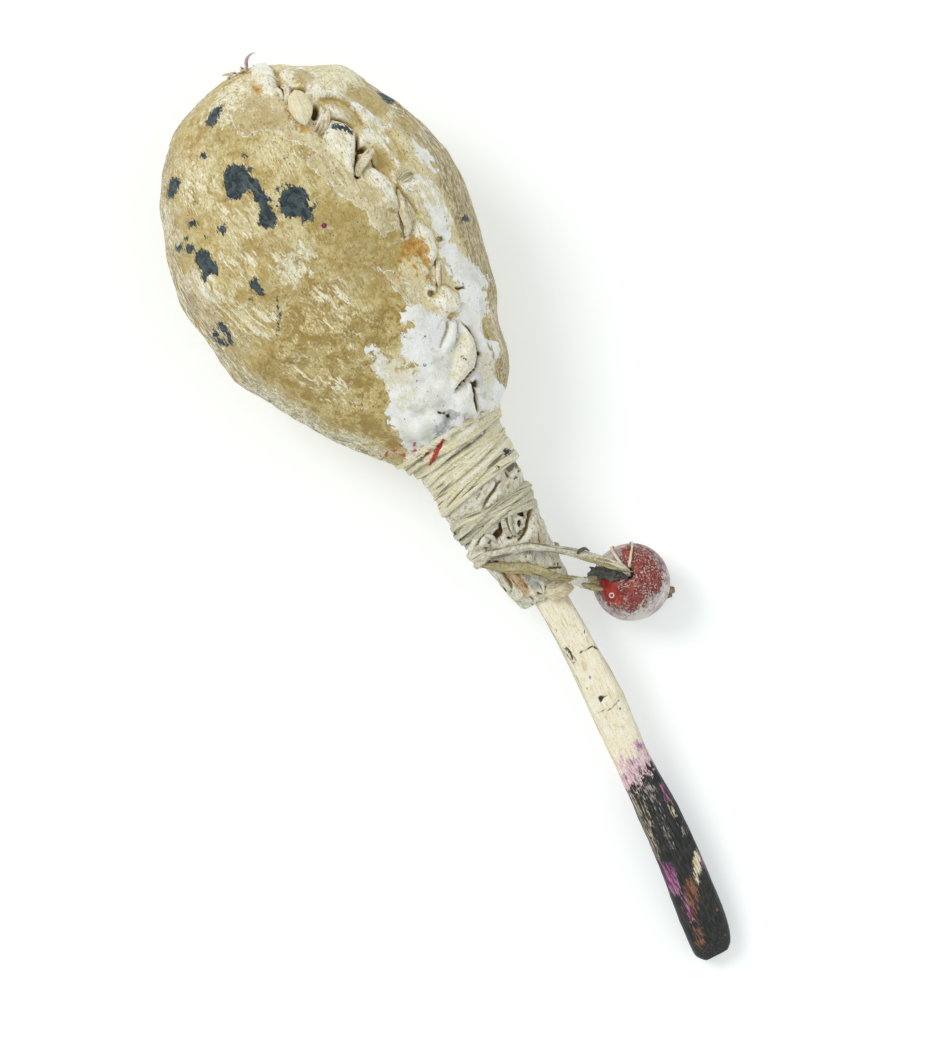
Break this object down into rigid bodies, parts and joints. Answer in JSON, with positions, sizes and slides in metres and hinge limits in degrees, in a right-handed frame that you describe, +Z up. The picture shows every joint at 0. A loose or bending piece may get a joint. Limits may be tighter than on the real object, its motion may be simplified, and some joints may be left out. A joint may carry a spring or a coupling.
{
  "type": "hide rattle",
  "caption": "Hand rattle: hollow laced rawhide head with loose pebbles inside, bound with sinew to a whittled stick handle, and a bead hanging from a thong at the neck.",
  "frame": {"origin": "on the table below the middle of the rattle as it lies, without the hanging thong and bead", "axes": "+Y from the handle's butt to the head's tip, +Z up from the table, +X to the side where the bead hangs"},
  "size_m": [0.0884, 0.2884, 0.0729],
  "materials": {
    "rawhide": "dried, translucent rawhide with worn white and black paint",
    "sinew": "dry fibrous strip",
    "thong_hide": "dry flat thong",
    "dark_hide": "blackened strip",
    "whittled_wood": "whittled, with black and purple paint towards the butt",
    "bead_red": "worn red glaze with a white crust",
    "pebble_stone": "water-worn"
  },
  "bodies": {
    "rattle": {"head_skin": "rawhide", "seam_thread": "sinew", "seam_leaf": "rawhide", "tip_tuft": "sinew", "handle_stick": "whittled_wood", "upper_binding": "sinew", "lower_binding": "sinew", "thong_neck_loop": "thong_hide", "thong_upper_crossing": "thong_hide", "thong_lower_crossing": "thong_hide"},
    "pendant": {"thong_upper_strand": "thong_hide", "thong_lower_strand": "thong_hide", "bead_core_thong": "thong_hide", "bead_side_knot": "thong_hide", "thong_end_knot": "thong_hide", "dark_strip": "dark_hide", "bead_sinew_1": "sinew", "bead_sinew_2": "sinew"},
    "bead": {"bead": "bead_red"},
    "pebble_1": {"pebble_1": "pebble_stone"},
    "pebble_2": {"pebble_2": "pebble_stone"},
    "pebble_3": {"pebble_3": "pebble_stone"},
    "pebble_4": {"pebble_4": "pebble_stone"},
    "pebble_5": {"pebble_5": "pebble_stone"},
    "pebble_6": {"pebble_6": "pebble_stone"},
    "pebble_7": {"pebble_7": "pebble_stone"},
    "pebble_8": {"pebble_8": "pebble_stone"}
  },
  "joints": [
    {"name": "pendant_swing", "type": "hinge", "parent": "rattle", "child": "pendant", "pos_m": [0.0208, -0.024, 0.027], "axis": [0, -1, 0], "range_deg": [-15, 120]},
    {"name": "bead_spin", "type": "hinge", "parent": "pendant", "child": "bead", "pos_m": [0.0342, -0.0362, 0.01285], "axis": [0.01, 0.277, 0.9608], "continuous": true},
    {"name": "pebble_1_rattle", "type": "slide", "parent": "rattle", "child": "pebble_1", "axis": [0, 0, 1], "range_m": [0, 0.046]},
    {"name": "pebble_2_rattle", "type": "slide", "parent": "rattle", "child": "pebble_2", "axis": [0, 0, 1], "range_m": [0, 0.049]},
    {"name": "pebble_3_rattle", "type": "slide", "parent": "rattle", "child": "pebble_3", "axis": [0, 0, 1], "range_m": [0, 0.049]},
    {"name": "pebble_4_rattle", "type": "slide", "parent": "rattle", "child": "pebble_4", "axis": [0, 0, 1], "range_m": [0, 0.052]},
    {"name": "pebble_5_rattle", "type": "slide", "parent": "rattle", "child": "pebble_5", "axis": [0, 0, 1], "range_m": [0, 0.053]},
    {"name": "pebble_6_rattle", "type": "slide", "parent": "rattle", "child": "pebble_6", "axis": [0, 0, 1], "range_m": [0, 0.051]},
    {"name": "pebble_7_rattle", "type": "slide", "parent": "rattle", "child": "pebble_7", "axis": [0, 0, 1], "range_m": [0, 0.056]},
    {"name": "pebble_8_rattle", "type": "slide", "parent": "rattle", "child": "pebble_8", "axis": [0, 0, 1], "range_m": [0, 0.055]}
  ]
}
